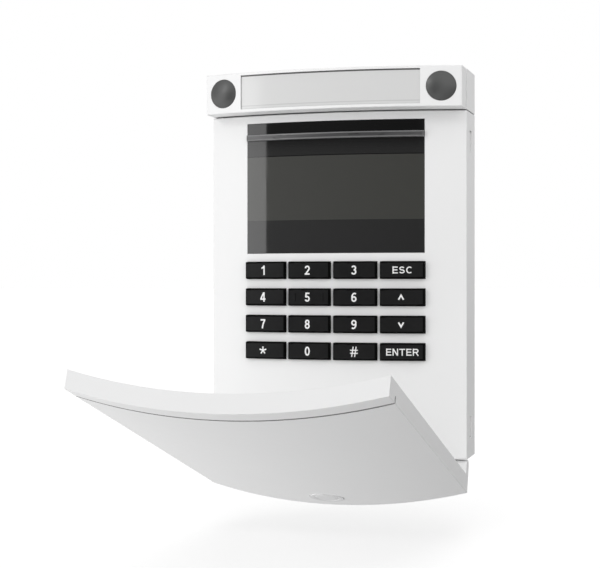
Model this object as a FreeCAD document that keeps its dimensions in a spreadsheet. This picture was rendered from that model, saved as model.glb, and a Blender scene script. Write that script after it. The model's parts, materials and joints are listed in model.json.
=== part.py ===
import FreeCAD, Part
import os
import re
from math import atan2, sqrt

import Sketcher
from FreeCAD import Rotation, Vector

# Alarm keypad panel: a wall case with a display and sixteen keys, a control segment with two push
# buttons above it, and a cover flap hinged along the bottom edge, here at its open rest angle.
#
# Frame: millimetres. The origin is the centre of the case's wall face. +X is to the reader's right,
# +Y goes into the wall and +Z is up. "Depth" below means distance in front of the wall (along -Y),
# and "height" means height above the case's bottom edge. Every front surface follows one arc across
# the case; its "crown" is its depth in the middle, where the arc stands out furthest.

DIMENSIONS = (
    # fits, and cutters that run past what they cut
    ("cut_over", 1.0, "cutters run past a face by this much"),
    ("cut_clear", 3.0, "the same for cutters that start in front of a curved face"),
    ("cut_through", 12.0, "length of cutters that go through a front skin"),
    ("hole_gap", 0.1, "clearance round screws, plungers and push buttons"),
    ("seat_gap", 0.02, "clearance behind panes and trim in their seats"),
    # the case
    ("case_width", 102.0, "outer width of case, segment and flap"),
    ("case_height", 132.3, "height of the front cover"),
    ("case_wall", 2.0, "side walls"),
    ("case_skin", 2.2, "front skin"),
    ("wall_gap", 0.3, "covers stop short of the wall by this much"),
    ("front_radius", 198.6, "radius of the arc that all fronts follow"),
    ("cover_crown", 24.8, "depth of the front cover in the middle"),
    ("edge_round", 0.35, "rounding of the outer edges"),
    # the display
    ("window_width", 71.0, "opening for the display window"),
    ("window_low", 78.3, "height of its bottom edge"),
    ("window_tall", 50.9, "opening height"),
    ("window_thick", 1.4, "window pane"),
    ("window_ledge", 2.5, "ledge that carries the pane, all round"),
    ("window_gap", 0.15, "clearance of the pane in its opening, each side"),
    ("rail_low", 122.35, "bottom edge of the rail across the window"),
    ("rail_tall", 2.35, "rail height"),
    ("rail_proud", 1.7, "how far the rail stands out of the window"),
    ("rail_round", 0.55, "rounding of the rail's front edges"),
    ("lcd_width", 64.0, "display glass"),
    ("lcd_low", 90.6, "bottom of the display glass"),
    ("lcd_tall", 26.0, "display glass height"),
    ("lcd_depth", 20.6, "depth of the display glass's front"),
    ("lcd_thick", 1.8, "thickness of the display glass"),
    ("light_gap", 0.1, "display glass to its back light"),
    ("light_thick", 2.7, "back light"),
    ("light_over", 2.0, "back light beyond the glass, above and below"),
    ("holder_frame", 2.0, "width of the holder's frame round the back light"),
    ("holder_gap", 0.2, "clearance of the back light in the holder"),
    ("flex_width", 20.0, "flat cable from the display glass to the board"),
    ("flex_thick", 0.3, "its thickness"),
    ("flex_drop", 4.6, "its bend below the display glass"),
    ("flex_inset", 1.0, "its front behind the glass's front"),
    # the keys
    ("key_pitch_x", 18.18, "column pitch"),
    ("key_pitch_z", 10.37, "row pitch"),
    ("key_width", 16.75, "key cap width"),
    ("key_tall", 6.4, "key cap height"),
    ("key_low", 37.48, "bottom edge of the lowest row"),
    ("key_proud", 2.0, "key caps stand out of the cover by this much"),
    ("key_gap", 0.2, "clearance of a key cap in its opening, each side"),
    ("key_back", 17.6, "depth of the keys' flat backs"),
    ("key_flange", 0.8, "retaining flange above and below each cap"),
    ("flange_gap", 0.15, "clearance of the flange behind the cover's skin"),
    ("key_round", 0.65, "rounding of a cap's front edges"),
    ("rib_x", 5.6, "finding ribs on the middle key, each side of its middle"),
    ("rib_width", 0.7, "rib width"),
    ("rib_proud", 0.25, "how far a rib stands out of its key"),
    ("rib_inset", 1.6, "rib ends to the key's top and bottom edges"),
    ("mat_width", 78.0, "rubber mat under the keys"),
    ("mat_thick", 1.0, "mat thickness"),
    ("mat_over", 3.0, "mat beyond the keys, above and below"),
    ("dome_top", 2.8, "front of the mat's domes in front of the board"),
    ("dome_tall", 2.0, "dome height"),
    ("dome_tip", 2.0, "dome radius under the key"),
    ("dome_foot", 3.0, "dome radius at the mat"),
    # the circuit board
    ("board_width", 92.0, "main board"),
    ("board_low", 5.0, "height of its bottom edge"),
    ("board_tall", 121.0, "main board height"),
    ("board_back", 12.0, "depth of the board's rear face"),
    ("board_thick", 1.6, "both boards"),
    ("boss_x", 43.0, "board screws, each side of the middle"),
    ("boss_low", 9.0, "lower board screws"),
    ("boss_high", 122.0, "upper board screws"),
    ("boss_radius", 2.5, "screw bosses"),
    ("boss_tall", 5.0, "bosses in front of the board"),
    ("boss_cap", 1.0, "a boss's hole stops this far short of its front"),
    ("screw_radius", 1.0, "board screws' threads"),
    ("screw_short", 1.2, "screws end this far short of a boss's front"),
    ("thread_gap", 0.05, "radial clearance of a thread in its boss"),
    ("head_radius", 1.9, "screw heads"),
    ("head_tall", 1.4, "screw head height"),
    ("pass_depth", 9.0, "near side of the opening between case and segment"),
    ("pass_deep", 7.0, "size of that opening, front to back"),
    ("pass_width", 14.0, "width of that opening"),
    # on the main board
    ("capacitor_x", 27.5, "middle of the pair of capacitors"),
    ("capacitor_pitch", 7.0, "their spacing"),
    ("capacitor_height", 104.0, "height of their centres"),
    ("capacitor_radius", 2.5, "capacitor radius"),
    ("capacitor_tall", 6.0, "capacitor length"),
    ("sounder_x", 28.0, "buzzer position"),
    ("sounder_height", 32.0, "buzzer height"),
    ("sounder_radius", 6.0, "buzzer radius"),
    ("sounder_tall", 5.5, "buzzer length"),
    ("sounder_port", 0.8, "radius of the hole in the buzzer's end"),
    ("port_deep", 1.0, "depth of that hole"),
    ("sensor_width", 4.0, "flap sensor"),
    ("sensor_tall", 3.0, "flap sensor height"),
    ("sensor_thick", 1.2, "flap sensor thickness"),
    ("antenna_width", 86.0, "card reader coil"),
    ("antenna_over", 8.0, "coil beyond the keys, above and below"),
    ("track_width", 2.0, "width of the coil's track"),
    ("track_thick", 0.3, "thickness of the track"),
    ("terminal_pitch", 5.0, "spacing of the cable terminals"),
    ("terminal_drop", 20.0, "terminal block's bottom below the cable entry's middle"),
    ("terminal_margin", 2.0, "housing beyond its terminals, both ends together"),
    ("terminal_deep", 8.0, "terminal block, front to back"),
    ("terminal_tall", 9.0, "terminal block height"),
    ("wire_width", 3.0, "wire mouths"),
    ("wire_deep", 3.2, "wire mouths, front to back"),
    ("wire_tall", 4.0, "how far a mouth runs down from the block's top, and past it"),
    ("wire_inset", 3.0, "wire mouths' front behind the board"),
    ("wire_low", 6.0, "wire mouths' bottom above the block's"),
    ("clamp_height", 3.0, "clamp screws above the block's bottom"),
    ("clamp_inset", 2.5, "clamp screws' ends behind the board"),
    ("clamp_radius", 1.5, "clamp screw radius"),
    ("clamp_length", 4.8, "clamp screw length"),
    ("slot_width", 0.5, "driver slots"),
    ("slot_deep", 0.6, "depth of the driver slots"),
    # the back plate
    ("plate_thick", 2.5, "back plate"),
    ("plate_inset", 2.3, "plate edge to case outside"),
    ("plate_rim", 7.0, "depth of the plate's rim"),
    ("mount_x", 78.0, "wall screw spacing across"),
    ("mount_z", 104.0, "wall screw spacing up and down"),
    ("mount_radius", 2.25, "wall screw holes"),
    ("knockout_radius", 8.0, "break-out discs for other cable routes"),
    ("knockout_x", 22.0, "break-out discs, each side of the middle"),
    ("knockout_height", 46.0, "height of their centres"),
    ("knockout_groove", 0.8, "width of the weakening groove round a disc"),
    ("knockout_web", 0.8, "wall left in front of that groove"),
    ("entry_width", 30.0, "cable entry"),
    ("entry_tall", 16.0, "cable entry height"),
    ("entry_height", 96.0, "height of the cable entry's middle"),
    ("hook_low", 7.3, "lower side slots"),
    ("hook_high", 117.2, "upper side slots"),
    ("hook_tall", 8.2, "slot height"),
    ("hook_near", 6.8, "slots' near edge to the wall"),
    ("hook_far", 11.8, "slots' far edge"),
    ("hook_arm", 1.4, "thickness of the hooks' arms and of the plate's rim"),
    ("hook_gap", 0.35, "clearance of a hook in its slot"),
    ("nose_inset", 0.55, "how far a hook's nose lies below the case's side"),
    # the tamper switch
    ("tamper_x", -24.0, "plunger position"),
    ("tamper_height", 20.0, "plunger height"),
    ("tamper_stem", 1.2, "plunger stem radius"),
    ("tamper_head", 2.0, "plunger head radius"),
    ("tamper_size", 9.0, "switch housing, width and height"),
    ("tamper_deep", 7.5, "switch housing, front to back"),
    ("bore_roof", 1.0, "housing wall in front of the plunger's bore"),
    ("bore_deep", 5.5, "length of the plunger's bore"),
    ("head_inset", 3.6, "plunger head's front behind the board"),
    ("head_thick", 1.2, "plunger head"),
    ("plunger_end", 0.05, "plunger's end in front of the wall"),
    ("spring_inset", 1.25, "spring's front end behind the board"),
    ("spring_length", 2.0, "spring from end turn to end turn"),
    ("spring_pitch", 0.6, "spring's pitch"),
    ("spring_radius", 1.4, "spring's mean radius"),
    ("wire_radius", 0.18, "spring wire"),
    # the control segment
    ("segment_low", 132.75, "height of its bottom edge"),
    ("segment_tall", 15.4, "segment height"),
    ("segment_split", 18.3, "depth of the parting line"),
    ("parting_gap", 0.3, "width of the parting line"),
    ("rim_inset", 0.45, "rear half's front rim, inside its outline all round"),
    ("rim_deep", 0.3, "front to back size of that rim"),
    ("frame_inset", 0.3, "sides of the front half, inside the rear half's sides"),
    ("segment_rear", 2.0, "depth of its rear wall's inner face"),
    ("segment_wall", 1.6, "its top and bottom walls"),
    ("segment_skin", 3.0, "its front skin"),
    ("segment_crown", 32.96, "depth of its front in the middle"),
    ("label_width", 70.8, "opening for the segment's window"),
    ("label_low", 134.0, "bottom of that opening"),
    ("label_tall", 13.1, "opening height"),
    ("label_sunk", 0.5, "window face behind the frame's face"),
    ("label_pane", 1.2, "thickness of the window"),
    ("label_gap", 0.1, "clearance of the window in its opening, each side"),
    ("label_nest", 0.4, "room for the label behind the window"),
    ("label_ledge", 1.5, "ledge under the window, above and below"),
    ("label_ends", 2.5, "the same at its two ends"),
    ("paper_inset", 0.8, "label inside the window's opening, all round"),
    ("paper_thick", 0.3, "label thickness"),
    ("paper_gap", 0.05, "label to window"),
    ("button_x", 43.1, "push buttons, each side of the middle"),
    ("button_height", 140.45, "push buttons' centre height"),
    ("button_radius", 5.5, "push button radius"),
    ("button_back", 22.2, "depth of the buttons' flat backs"),
    ("button_curve", 12.3, "radius of the ball that a button's dome is part of"),
    ("button_dome", 1.3, "height of the dome over the segment's front"),
    ("button_flange", 0.3, "retaining flange beyond the barrel"),
    ("flange_thick", 1.3, "its thickness"),
    ("segment_board_width", 94.0, "segment's board"),
    ("segment_board_inset", 2.2, "that board inside the segment, above and below"),
    ("link_inset", 1.0, "connector narrower and shallower than the opening it passes"),
    ("link_gap", 0.2, "connector's foot above the main board's top"),
    ("link_lap", 2.0, "connector's reach into the segment"),
    ("led_pitch", 12.0, "spacing of the lamps"),
    ("led_height", 6.7, "lamps above the segment's bottom"),
    ("led_width", 3.0, "lamp width"),
    ("led_tall", 2.0, "lamp height"),
    ("led_thick", 1.5, "lamp thickness"),
    ("switch_size", 6.0, "button switches, width and height"),
    ("switch_deep", 4.0, "switch body, front to back"),
    ("switch_top", 7.6, "front of a switch's cap in front of the board"),
    ("switch_lap", 0.2, "how far the cap reaches into its body"),
    ("switch_cap", 1.7, "radius of the cap"),
    # the flap
    ("flap_crown", 32.66, "depth of the closed flap's front in the middle"),
    ("flap_low", -4.8, "bottom of the closed flap"),
    ("flap_tall", 136.9, "flap height"),
    ("flap_rim", 6.3, "rim thickness, front to back"),
    ("flap_skin", 2.0, "flap front skin"),
    ("flap_sole", 4.4, "thickness of the bottom wall that carries the hinge"),
    ("flap_wall", 2.2, "side walls of the rim"),
    ("flap_edge", 0.15, "rounding of its front edges"),
    ("flap_open", 69.84, "opening angle at rest"),
    ("sole_lap", 0.5, "how far the bottom wall laps the rim"),
    ("lining_thick", 1.2, "inner panel"),
    ("lining_gap", 0.15, "clearance of the inner panel in the rim, each side"),
    ("lining_back", 0.05, "inner panel to front skin"),
    ("card_width", 70.0, "shallow seat for a user card on the inner panel"),
    ("card_low", 16.0, "its bottom edge on the closed flap"),
    ("card_tall", 84.0, "its height"),
    ("card_deep", 0.4, "its depth"),
    ("trim_tall", 8.3, "pull trim at the free end"),
    ("trim_thick", 2.15, "pull trim thickness"),
    ("trim_groove", 1.05, "parting line under the trim"),
    ("trim_web", 1.0, "wall between the flap's main hollow and the trim"),
    ("trim_backing", 1.2, "wall behind the trim"),
    ("trim_lip", 1.2, "the trim's lip over the flap's end face"),
    ("hinge_depth", 16.0, "hinge axis in front of the wall"),
    ("hinge_height", -2.6, "hinge axis below the case's bottom edge"),
    ("hinge_radius", 2.2, "barrel and ears round the axis"),
    ("ear_x", 41.0, "middle of each hinge ear"),
    ("ear_width", 6.0, "ear width"),
    ("ear_root", 0.5, "how far an ear runs into the cover's bottom wall"),
    ("ear_gap", 0.3, "clearance at each side of an ear"),
    ("notch_gap", 0.4, "clearance in front of and behind an ear"),
    ("pin_radius", 0.8, "hinge pins"),
    ("pin_length", 15.0, "hinge pin length"),
    ("pin_gap", 0.05, "pins' radial clearance in the ears"),
    ("magnet_x", 40.0, "flap magnet and its sensor"),
    ("magnet_height", 112.0, "their height"),
    ("magnet_front", 24.85, "depth of the magnet's front on the closed flap"),
    ("magnet_radius", 2.0, "magnet radius"),
    ("magnet_thick", 1.6, "magnet thickness"),
    ("bumper_inset", 1.5, "middle of a bumper to the flap's outside"),
    ("bumper_width", 1.2, "rubber bumpers on the rim"),
    ("bumper_height", 118.0, "height of their bottom edge on the closed flap"),
    ("bumper_tall", 4.0, "bumper height"),
    ("bumper_thick", 1.1, "bumper thickness"),
    ("badge_radius", 6.5, "blank badge on the flap"),
    ("badge_proud", 0.2, "how far it stands out"),
    ("badge_sunk", 0.5, "depth of its seat"),
    ("ring_radius", 4.7, "outer radius of the ring groove in the badge"),
    ("ring_width", 0.5, "width of that groove"),
    ("ring_deep", 0.15, "depth of that groove"),
    ("badge_height", 9.0, "height of its centre on the closed flap"),
)

KEY_NAMES = (
    ("star", "0", "hash", "enter"),
    ("7", "8", "9", "down"),
    ("4", "5", "6", "up"),
    ("1", "2", "3", "esc"),
)
ALIAS = re.compile(r"\b[a-z]+(?:_[a-z]+)+\b")
SIDES = (("left", "-1"), ("right", "1"))
CHIPS = (
    # name, x, height of its middle, width, height, thickness
    ("controller", -18, 60, 10, 10, 1.4),
    ("reader_chip", 14, 58, 6, 6, 1.0),
    ("memory", -2, 46, 5, 6, 1.5),
    ("crystal", -18, 46, 5, 3, 1.2),
    ("coil", 26, 82, 6, 6, 3.0),
    ("display_driver", -26, 100, 7, 5, 1.5),
)
TERMINALS = 4
BOARD_FACE = "(board_back + board_thick)"
LIGHT_FACE = "(lcd_depth - lcd_thick - light_gap)"
KEYS_TALL = "(3 * key_pitch_z + key_tall)"
HALF_WIDTH = "case_width / 2"
TURN_TO_Y = Rotation(Vector(1, 0, 0), -90)
TURN_TO_X = Rotation(Vector(0, 1, 0), 90)

doc = FreeCAD.newDocument("keypad_panel")
sheet = doc.addObject("Spreadsheet::Sheet", "Dims")
for row, (alias, value, note) in enumerate(DIMENSIONS, start=1):
    sheet.set(f"A{row}", alias)
    sheet.set(f"B{row}", str(value))
    sheet.set(f"C{row}", note)
    sheet.setAlias(f"B{row}", alias)
doc.recompute()

sub_parts = []


# ---------------------------------------------------------------- helpers

def bind(thing, prop, formula):
    """Ties a property to a formula of the sheet's aliases."""
    thing.setExpression(prop, ALIAS.sub(r"Dims.\g<0>", f"{formula}"))


def amount(formula):
    """The number that a formula of the sheet's aliases comes to."""
    numbers = ALIAS.sub(lambda alias: f"({sheet.get(alias[0])})", f"{formula}")
    return FreeCAD.Units.Quantity(numbers).Value


def front_depth(crown, x):
    """How far a front of this crown stands in front of the wall at x."""
    radius = amount("front_radius")
    return amount(crown) - radius + sqrt(radius ** 2 - x ** 2)


def place(thing, x, depth, height):
    """Puts a piece's own origin at x, a depth in front of the wall and a height above the bottom edge."""
    bind(thing, "Placement.Base.x", x)
    bind(thing, "Placement.Base.y", f"-({depth})")
    bind(thing, "Placement.Base.z", f"{height} - case_height / 2")


def block(name, x, front, low, wide, deep, tall):
    """A box centred on x, from the depth `front` back towards the wall, standing on the height `low`."""
    piece = doc.addObject("Part::Box", name)
    bind(piece, "Length", wide)
    bind(piece, "Width", deep)
    bind(piece, "Height", tall)
    place(piece, f"{x} - ({wide}) / 2", front, low)
    return piece


def rod(name, x, front, height, radius, deep):
    """A round rod along the depth, from the depth `front` back towards the wall."""
    piece = doc.addObject("Part::Cylinder", name)
    bind(piece, "Radius", radius)
    bind(piece, "Height", deep)
    piece.Placement.Rotation = TURN_TO_Y
    place(piece, x, front, height)
    return piece


def bar(name, x, depth, height, radius, wide):
    """A round bar along X, centred on x."""
    piece = doc.addObject("Part::Cylinder", name)
    bind(piece, "Radius", radius)
    bind(piece, "Height", wide)
    piece.Placement.Rotation = TURN_TO_X
    place(piece, f"{x} - ({wide}) / 2", depth, height)
    return piece


def flat_sketch(body):
    """A sketch on the body's own XY plane."""
    plane = [feature for feature in body.Origin.OriginFeatures if feature.Role == "XY_Plane"][0]
    sketch = body.newObject("Sketcher::SketchObject", body.Name + "_profile")
    sketch.AttachmentSupport = [(plane, "")]
    sketch.MapMode = "FlatFace"
    return sketch


def dimension(sketch, way, geometry, point, formula):
    """Sets a point's distance from the sketch's origin and ties it to a formula."""
    value = amount(formula)
    number = sketch.addConstraint(Sketcher.Constraint(way, -1, 1, geometry, point, value))
    bind(sketch, f"Constraints[{number}]", formula)


def curved(name, left, right, crown, low, tall, back=None, thick=None):
    """A PartDesign body whose front follows the case's arc; its rear is flat at the depth `back`, or
    the same arc moved back by `thick`."""
    body = doc.addObject("PartDesign::Body", name)
    sketch = flat_sketch(body)
    bind(sketch, "AttachmentOffset.Base.z", f"{low} - case_height / 2")

    radius = amount("front_radius")
    x_left, x_right = amount(left), amount(right)

    def front_arc(depth):
        """Adds an arc whose middle stands at this depth, and gives its two ends."""
        centre = radius - amount(depth)
        ends = [Vector(x, centre - sqrt(radius ** 2 - x ** 2), 0) for x in (x_left, x_right)]
        start, stop = [atan2(end.y - centre, end.x) for end in ends]
        circle = Part.Circle(Vector(0, centre, 0), Vector(0, 0, 1), radius)
        arc = sketch.addGeometry(Part.ArcOfCircle(circle, start, stop), False)
        sketch.addConstraint(Sketcher.Constraint("PointOnObject", arc, 3, -2))
        number = sketch.addConstraint(Sketcher.Constraint("Radius", arc, radius))
        bind(sketch, f"Constraints[{number}]", "front_radius")
        dimension(sketch, "DistanceY", arc, 3, f"front_radius - ({depth})")
        return arc, ends

    def straight(start, end):
        return sketch.addGeometry(Part.LineSegment(start, end), False)

    arc, (front_left, front_right) = front_arc(crown)
    if thick is None:
        back_left = Vector(x_left, -amount(back), 0)
        back_right = Vector(x_right, -amount(back), 0)
        rear = straight(back_left, back_right)
        dimension(sketch, "DistanceY", rear, 1, f"-({back})")
        sketch.addConstraint(Sketcher.Constraint("Horizontal", rear))
    else:
        rear, (back_left, back_right) = front_arc(f"{crown} - ({thick})")
    for formula, front, rear_end, number in (
        (left, front_left, back_left, 1),
        (right, front_right, back_right, 2),
    ):
        side = straight(front, rear_end)
        sketch.addConstraint(Sketcher.Constraint("Coincident", arc, number, side, 1))
        sketch.addConstraint(Sketcher.Constraint("Coincident", rear, number, side, 2))
        sketch.addConstraint(Sketcher.Constraint("Vertical", side))
        dimension(sketch, "DistanceX", side, 1, formula)

    pad = body.newObject("PartDesign::Pad", name + "_pad")
    pad.Profile = sketch
    bind(pad, "Length", tall)
    return body


def dress(body, kind, size, pick):
    """Rounds (Fillet) or bevels (Chamfer) the edges of a body that pick() chooses."""
    doc.recompute()
    base = body.Tip
    edges = [f"Edge{number}" for number, edge in enumerate(base.Shape.Edges, start=1) if pick(edge)]
    feature = body.newObject("PartDesign::" + kind, f"{body.Name}_{kind}")
    feature.Base = (base, edges)
    bind(feature, "Radius" if kind == "Fillet" else "Size", size)
    return body


def on_front(crown):
    """Chooses the edges that bound the arc-shaped front of this crown."""
    def chosen(edge):
        middle = edge.valueAt((edge.FirstParameter + edge.LastParameter) / 2)
        points = [vertex.Point for vertex in edge.Vertexes] + [middle]
        return all(abs(point.y + front_depth(crown, point.x)) < 0.01 for point in points)
    return chosen


def union(name, pieces):
    joined = doc.addObject("Part::MultiFuse", name)
    joined.Shapes = pieces
    return joined


def group(name, pieces):
    """Separate solids kept together in one node."""
    together = doc.addObject("Part::Compound", name)
    together.Links = pieces
    return together


def less(name, base, tools):
    """A piece with others taken out of it."""
    rest = doc.addObject("Part::Cut", name)
    rest.Base = base
    rest.Tool = tools[0] if len(tools) == 1 else union(name + "_tools", tools)
    return rest


def keep(piece, label):
    """Names a finished sub-part and lists it for export."""
    piece.Label = label
    sub_parts.append(piece)


def keep_on_flap(piece, label):
    """The same for the flap's pieces: drawn closed, they swing about the hinge axis to the rest angle.
    The swing takes the place of the piece's own Placement, so a rod or bar comes in a group or cut."""
    depth, height = "(-hinge_depth)", "(hinge_height - case_height / 2)"
    piece.Placement.Rotation = Rotation(Vector(1, 0, 0), 1)
    bind(piece, "Placement.Rotation.Angle", "flap_open")
    bind(piece, "Placement.Base.y",
         f"{depth} - {depth} * cos(flap_open) + {height} * sin(flap_open)")
    bind(piece, "Placement.Base.z",
         f"{height} - {depth} * sin(flap_open) - {height} * cos(flap_open)")
    keep(piece, label)


# ---------------------------------------------------------------- wall case

def key_layout():
    """Each key's name, the formula of its middle in X and that of its bottom edge."""
    for row, names in enumerate(KEY_NAMES):
        for column, name in enumerate(names):
            middle = f"({column} - {(len(names) - 1) / 2}) * key_pitch_x"
            yield name, middle, f"(key_low + {row} * key_pitch_z)"


def make_front_cover():
    outside = curved("cover_outside", "-case_width / 2", "case_width / 2", "cover_crown",
                     "0", "case_height", back="wall_gap")
    dress(outside, "Fillet", "edge_round", on_front("cover_crown"))
    openings = [
        curved("cover_inside", "case_wall - case_width / 2", "case_width / 2 - case_wall",
               "cover_crown - case_skin", "case_wall", "case_height - 2 * case_wall", back="-cut_over"),
        curved("window_seat", "-window_width / 2", "window_width / 2", "cover_crown + cut_clear",
               "window_low", "window_tall", thick="cut_clear + window_thick"),
        block("window_opening", "0", "cover_crown + cut_clear", "window_low + window_ledge",
              "window_width - 2 * window_ledge", "cut_through", "window_tall - 2 * window_ledge"),
        block("connector_opening", "0", "pass_depth + pass_deep",
              "case_height - case_wall - cut_over", "pass_width", "pass_deep",
              "case_wall + 2 * cut_over"),
    ]
    for name, middle, low in key_layout():
        openings.append(block(f"opening_{name}", middle, "cover_crown + cut_clear", f"{low} - key_gap",
                              "key_width + 2 * key_gap", "cut_through", "key_tall + 2 * key_gap"))
    bosses = []
    ears = []
    for side, sign in SIDES:
        for level in ("low", "high"):
            openings.append(block(f"slot_{side}_{level}", f"{sign} * (case_width - case_wall) / 2",
                                  "hook_far", f"hook_{level}", "case_wall + 2 * cut_over",
                                  "hook_far - hook_near", "hook_tall"))
            bosses.append(rod(f"boss_{side}_{level}", f"{sign} * boss_x",
                              f"{BOARD_FACE} + boss_tall", f"boss_{level}", "boss_radius",
                              "boss_tall"))
        ears.append(block(f"ear_{side}", f"{sign} * ear_x", "hinge_depth + hinge_radius",
                          "hinge_height", "ear_width", "2 * hinge_radius",
                          "ear_root - hinge_height"))
        ears.append(bar(f"ear_round_{side}", f"{sign} * ear_x", "hinge_depth", "hinge_height",
                        "hinge_radius", "ear_width"))
    shell = less("cover_shell", outside, openings)
    whole = union("cover_with_ears", [shell] + bosses + ears)
    holes = []
    for side, sign in SIDES:
        holes.append(bar(f"ear_hole_{side}", f"{sign} * ear_x", "hinge_depth", "hinge_height",
                         "pin_radius + pin_gap", "ear_width + 2 * cut_over"))
        for level in ("low", "high"):
            holes.append(rod(f"boss_hole_{side}_{level}", f"{sign} * boss_x",
                             f"{BOARD_FACE} + boss_tall - boss_cap", f"boss_{level}",
                             "screw_radius + thread_gap", "boss_tall"))
    keep(less("cover", whole, holes), "front_cover")


def make_back_plate():
    width = "(case_width - 2 * plate_inset)"
    tall = "(case_height - 2 * plate_inset)"
    tray = less("plate_tray", block("plate_block", "0", "plate_rim", "plate_inset", width,
                                    "plate_rim", tall),
                [block("plate_hollow", "0", "plate_rim + cut_over", "plate_inset + hook_arm",
                       f"{width} - 2 * hook_arm", "plate_rim + cut_over - plate_thick",
                       f"{tall} - 2 * hook_arm")])
    above, through = "plate_thick + cut_over", "plate_thick + 2 * cut_over"
    hooks = []
    holes = [
        block("cable_entry", "0", above, "entry_height - entry_tall / 2", "entry_width", through,
              "entry_tall"),
        rod("tamper_hole", "tamper_x", above, "tamper_height", "tamper_stem + hole_gap", through),
    ]
    for side, sign in SIDES:
        for level in ("low", "high"):
            low = f"hook_{level} + hook_gap"
            high = "hook_tall - 2 * hook_gap"
            nose = "(plate_inset + hook_arm - nose_inset - hook_gap)"
            hooks.append(block(f"hook_arm_{side}_{level}",
                               f"{sign} * (case_width / 2 - plate_inset - hook_arm / 2)",
                               "hook_far - hook_gap", low, "hook_arm", "hook_far - hook_gap", high))
            hooks.append(block(f"hook_nose_{side}_{level}",
                               f"{sign} * (case_width / 2 - ({nose} + 2 * nose_inset) / 2)",
                               "hook_far - hook_gap", low, nose,
                               "hook_far - hook_near - 2 * hook_gap", high))
        x = f"{sign} * knockout_x"
        holes.append(less(f"knockout_{side}",
                          rod(f"knockout_outer_{side}", x, "plate_thick - knockout_web",
                              "knockout_height", "knockout_radius", "plate_thick"),
                          [rod(f"knockout_inner_{side}", x, "plate_thick", "knockout_height",
                               "knockout_radius - knockout_groove", "2 * plate_thick")]))
        for level, way in (("low", "-"), ("high", "+")):
            holes.append(rod(f"wall_screw_hole_{side}_{level}", f"{sign} * mount_x / 2",
                             above, f"case_height / 2 {way} mount_z / 2", "mount_radius", through))
    keep(less("plate", union("plate_with_hooks", [tray] + hooks), holes), "back_plate")


# ---------------------------------------------------------------- display

def make_display():
    left, right = "window_gap - window_width / 2", "window_width / 2 - window_gap"
    keep(curved("window_pane", left, right, "cover_crown", "window_low + window_gap",
                "window_tall - 2 * window_gap", thick="window_thick - seat_gap"), "display_window")
    rail = curved("rail", left, right, "cover_crown + rail_proud", "rail_low", "rail_tall",
                  thick="rail_proud - seat_gap / 2")
    dress(rail, "Fillet", "rail_round", on_front("cover_crown + rail_proud"))
    keep(rail, "window_rail")
    keep(block("lcd", "0", "lcd_depth", "lcd_low", "lcd_width", "lcd_thick", "lcd_tall"),
         "lcd_glass")
    keep(block("light_box", "0", LIGHT_FACE, "lcd_low - light_over", "lcd_width + light_over",
               "light_thick", "lcd_tall + 2 * light_over"), "lcd_backlight")
    keep(less("holder", holder_box("holder_block", LIGHT_FACE, "holder_frame",
                                   f"{LIGHT_FACE} - {BOARD_FACE}"),
              [holder_box("holder_opening", "lcd_depth", "holder_gap", "cut_through")]),
         "lcd_holder")
    upright = block("flex_upright", "0", "lcd_depth - flex_inset", "lcd_low - flex_drop",
                    "flex_width", "flex_thick", "flex_drop")
    foot = block("flex_foot", "0", "lcd_depth - flex_inset", "lcd_low - flex_drop", "flex_width",
                 f"lcd_depth - flex_inset - {BOARD_FACE}", "flex_thick")
    keep(union("flex", [upright, foot]), "lcd_flex_cable")


def holder_box(name, front, border, deep):
    """A box that stands a border's width outside the back light."""
    return block(name, "0", front, f"lcd_low - light_over - {border}",
                 f"lcd_width + light_over + 2 * {border}", deep,
                 f"lcd_tall + 2 * light_over + 2 * {border}")


# ---------------------------------------------------------------- keys

def make_keys():
    for name, middle, low in key_layout():
        left, right = f"{middle} - key_width / 2", f"{middle} + key_width / 2"
        cap = curved(f"cap_{name}", left, right, "cover_crown + key_proud", low, "key_tall",
                     back="key_back")
        dress(cap, "Fillet", "key_round", on_front("cover_crown + key_proud"))
        flange = curved(f"flange_{name}", left, right, "cover_crown - case_skin - flange_gap",
                        f"{low} - key_flange", "key_tall + 2 * key_flange", back="key_back")
        pieces = [cap, flange]
        if name == "5":
            for side, sign in SIDES:
                x = f"({middle} + {sign} * rib_x)"
                pieces.append(curved(f"rib_{side}", f"{x} - rib_width / 2", f"{x} + rib_width / 2",
                                     "cover_crown + key_proud + rib_proud", f"{low} + rib_inset",
                                     "key_tall - 2 * rib_inset", back="key_back"))
        keep(union(f"key_{name}_solid", pieces), f"key_{name}")


def make_keypad_membrane():
    mat = [block("mat", "0", f"{BOARD_FACE} + mat_thick", "key_low - mat_over", "mat_width",
                 "mat_thick", f"{KEYS_TALL} + 2 * mat_over")]
    for name, middle, low in key_layout():
        dome = doc.addObject("Part::Cone", f"dome_{name}")
        bind(dome, "Radius1", "dome_tip")
        bind(dome, "Radius2", "dome_foot")
        bind(dome, "Height", "dome_tall")
        dome.Placement.Rotation = TURN_TO_Y
        place(dome, middle, f"{BOARD_FACE} + dome_top", f"{low} + key_tall / 2")
        mat.append(dome)
    keep(union("membrane", mat), "keypad_membrane")


# ---------------------------------------------------------------- electronics

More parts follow.
